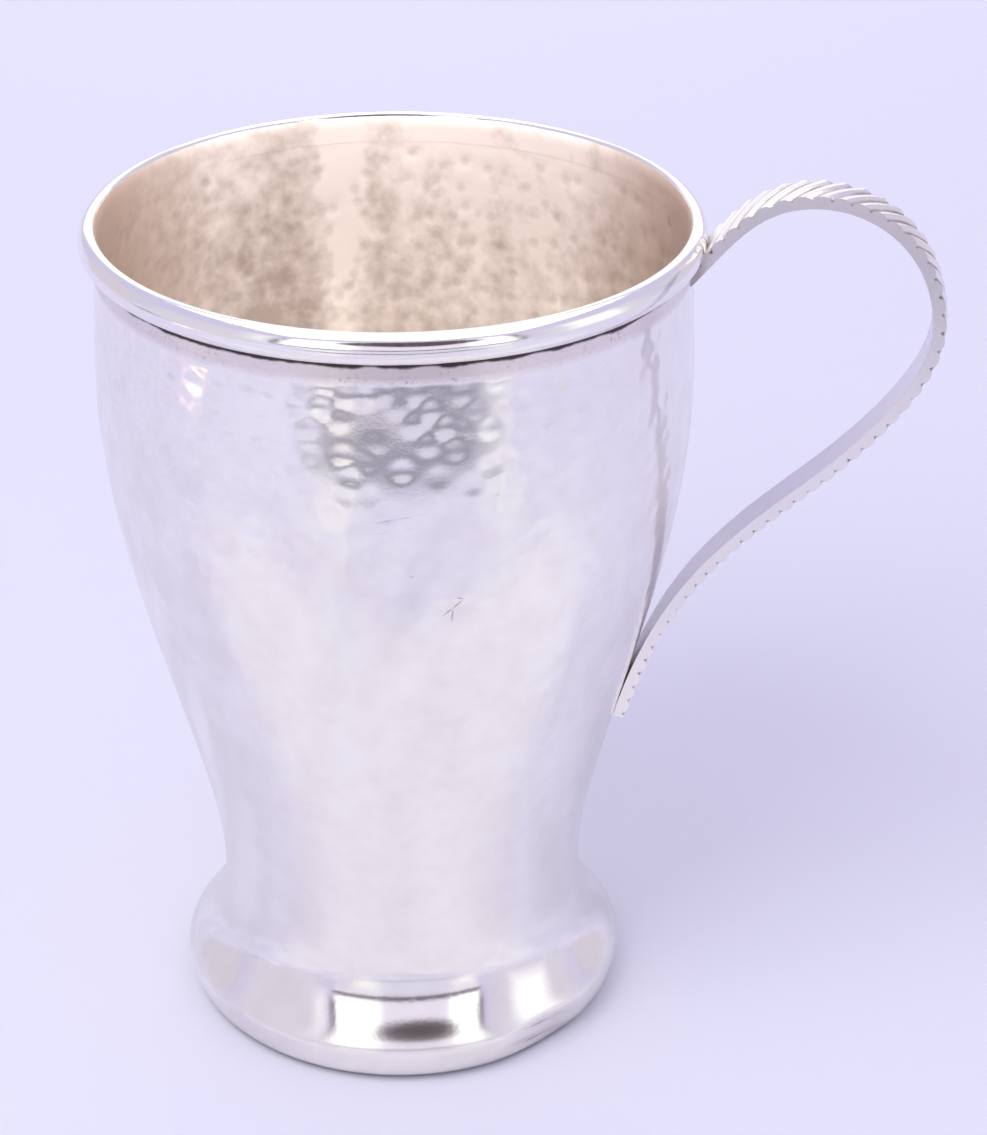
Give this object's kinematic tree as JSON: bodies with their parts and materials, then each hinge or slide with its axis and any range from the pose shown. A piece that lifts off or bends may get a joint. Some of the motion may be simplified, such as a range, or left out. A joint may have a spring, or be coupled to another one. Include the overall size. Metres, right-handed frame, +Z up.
{
  "type": "hammered silver mug",
  "caption": "Hammered silver mug: a waisted bell-shaped body on a rounded foot, an applied rim wire and a looped strap handle with slanted reeds. It stands on its flat underside.",
  "frame": {"origin": "middle of the flat underside, on the cup's axis", "axes": "+Z up along the cup's axis, +X from the axis towards the handle, +Y across the handle"},
  "size_m": [0.1057, 0.0766, 0.1155],
  "materials": {
    "hammered_silver": "hammered and polished silver, warm fire stain inside",
    "polished_silver": "polished silver wire",
    "reeded_silver": "satin silver strip with slanted reeds"
  },
  "bodies": {
    "root": {"cup_body": "hammered_silver", "rim_wire": "polished_silver", "handle": "reeded_silver"}
  },
  "joints": []
}
